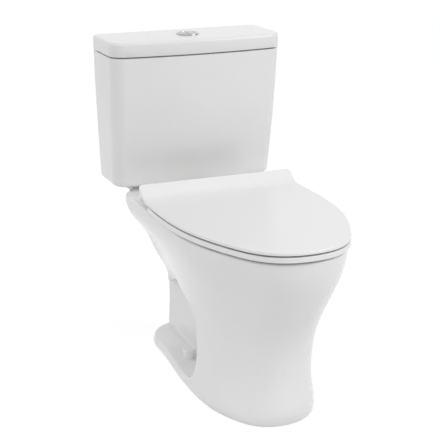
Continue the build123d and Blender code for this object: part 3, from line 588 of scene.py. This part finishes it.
def studio_floor_material():
    """Pale floor that reads white to the camera and keeps the toilet's shadow."""
    material, tree, shader = blank("studio_floor")
    tree.nodes.remove(shader)
    output = tree.nodes["Material Output"]
    pale = tree.nodes.new("ShaderNodeBsdfDiffuse")
    pale.inputs["Color"].default_value = (*studio().floor, 1.0)
    shadowed = tree.nodes.new("ShaderNodeBsdfDiffuse")
    shadowed.inputs["Color"].default_value = (*studio().shadow, 1.0)
    glow = tree.nodes.new("ShaderNodeEmission")
    glow.inputs["Strength"].default_value = studio().floor_glow
    both = tree.nodes.new("ShaderNodeAddShader")
    tree.links.new(shadowed.outputs[0], both.inputs[0])
    tree.links.new(glow.outputs[0], both.inputs[1])
    choose = tree.nodes.new("ShaderNodeMixShader")
    tree.links.new(combine(tree, "MAXIMUM", *ray_kinds(tree)), choose.inputs["Fac"])
    tree.links.new(pale.outputs[0], choose.inputs[1])
    tree.links.new(both.outputs[0], choose.inputs[2])
    tree.links.new(choose.outputs[0], output.inputs["Surface"])
    return material


def blend(tree, mask, first, second):
    """Two values blended by a mask; each is a number or a socket."""
    node = tree.nodes.new("ShaderNodeMix")
    tree.links.new(mask, node.inputs["Factor"])
    for socket, value in ((node.inputs[2], first), (node.inputs[3], second)):
        if isinstance(value, bpy.types.NodeSocket):
            tree.links.new(value, socket)
        else:
            socket.default_value = value
    return node.outputs[0]


def light_room():
    """Room lit from above, the left, behind and high in front, which the camera and mirrors see as white."""
    world = bpy.data.worlds.new("studio_room")
    bpy.context.scene.world = world
    world.use_nodes = True
    tree = world.node_tree
    background = tree.nodes["Background"]
    towards = tree.nodes.new("ShaderNodeSeparateXYZ")
    tree.links.new(tree.nodes.new("ShaderNodeTexCoord").outputs["Generated"], towards.inputs["Vector"])
    across, along, up = towards.outputs
    light = studio()
    front = remap(tree, along, 0.0, -1.0, 0.0, light.sky_front)
    left = remap(tree, across, 0.0, -1.0, 0.0, light.sky_high_left)
    level = combine(tree, "MULTIPLY", remap(tree, up, 0.0, 1.0), combine(tree, "ADD", front, left))
    lobes = ((up, 1.0, light.sky_above), (across, -1.0, light.sky_left), (along, 1.0, light.sky_behind))
    for direction, end, share in lobes:
        level = combine(tree, "ADD", level, remap(tree, direction, 0.0, end, 0.0, share))
    seen = combine(tree, "MAXIMUM", *ray_kinds(tree))
    tree.links.new(blend(tree, seen, level, 1.0), background.inputs["Strength"])
    background.inputs["Color"].default_value = (1.0, 1.0, 1.0, 1.0)


class TOILET_OT_stage(bpy.types.Operator):
    """Set up the floor, the soft light and the camera"""

    bl_idname = "toilet.stage"
    bl_label = "Studio"

    def execute(self, context):
        scene = context.scene
        scene.view_settings.view_transform = "Standard"
        form = bmesh.new()
        bmesh.ops.create_grid(form, x_segments=1, y_segments=1, size=studio().floor_reach)
        mesh = bpy.data.meshes.new("studio_floor")
        form.to_mesh(mesh)
        form.free()
        mesh.materials.append(studio_floor_material())
        ground = bpy.data.objects.new("studio_floor", mesh)
        scene.collection.objects.link(ground)
        light_room()
        settings = studio()
        lamp("key_lamp", settings.key_place, settings.key_aim, settings.key_width, settings.key_power)
        around, above = settings.azimuth, settings.elevation
        level = math.cos(above)
        back = Vector((math.sin(around) * level, -math.cos(around) * level, math.sin(above)))
        data = bpy.data.cameras.new("photo_camera")
        data.lens = settings.lens
        data.sensor_width = SENSOR
        data.shift_x, data.shift_y = settings.shift
        camera = bpy.data.objects.new("photo_camera", data)
        camera.location = Vector(settings.target) + back * settings.distance
        camera.rotation_euler = (-back).to_track_quat("-Z", "Y").to_euler()
        scene.collection.objects.link(camera)
        scene.camera = camera
        return {"FINISHED"}


class TOILET_PT_panel(bpy.types.Panel):
    """Buttons that dress the toilet, in the order that main runs them"""

    bl_idname = "TOILET_PT_panel"
    bl_label = "Toilet"
    bl_space_type = "VIEW_3D"
    bl_region_type = "UI"
    bl_category = "Toilet"

    def draw(self, context):
        for operator in OPERATORS:
            self.layout.operator(operator.bl_idname)
        for group in (colours(), sizes(), studio()):
            box = self.layout.box()
            for label in group.__annotations__:
                box.prop(group, label)


OPERATORS = (TOILET_OT_china, TOILET_OT_seat, TOILET_OT_buttons, TOILET_OT_valves, TOILET_OT_fixings,
             TOILET_OT_stage)
CLASSES = (ToiletColours, ToiletSizes, ToiletStudio, *OPERATORS, TOILET_PT_panel)


def register():
    for item in CLASSES:
        bpy.utils.register_class(item)
    bpy.types.Scene.toilet_colours = PointerProperty(type=ToiletColours)
    bpy.types.Scene.toilet_sizes = PointerProperty(type=ToiletSizes)
    bpy.types.Scene.toilet_studio = PointerProperty(type=ToiletStudio)


def unregister():
    del bpy.types.Scene.toilet_studio
    del bpy.types.Scene.toilet_sizes
    del bpy.types.Scene.toilet_colours
    for item in reversed(CLASSES):
        bpy.utils.unregister_class(item)


def main():
    register()
    bpy.ops.toilet.china()
    bpy.ops.toilet.seat()
    bpy.ops.toilet.buttons()
    bpy.ops.toilet.valves()
    bpy.ops.toilet.fixings()
    bpy.ops.toilet.stage()


if __name__ == "__main__":
    main()
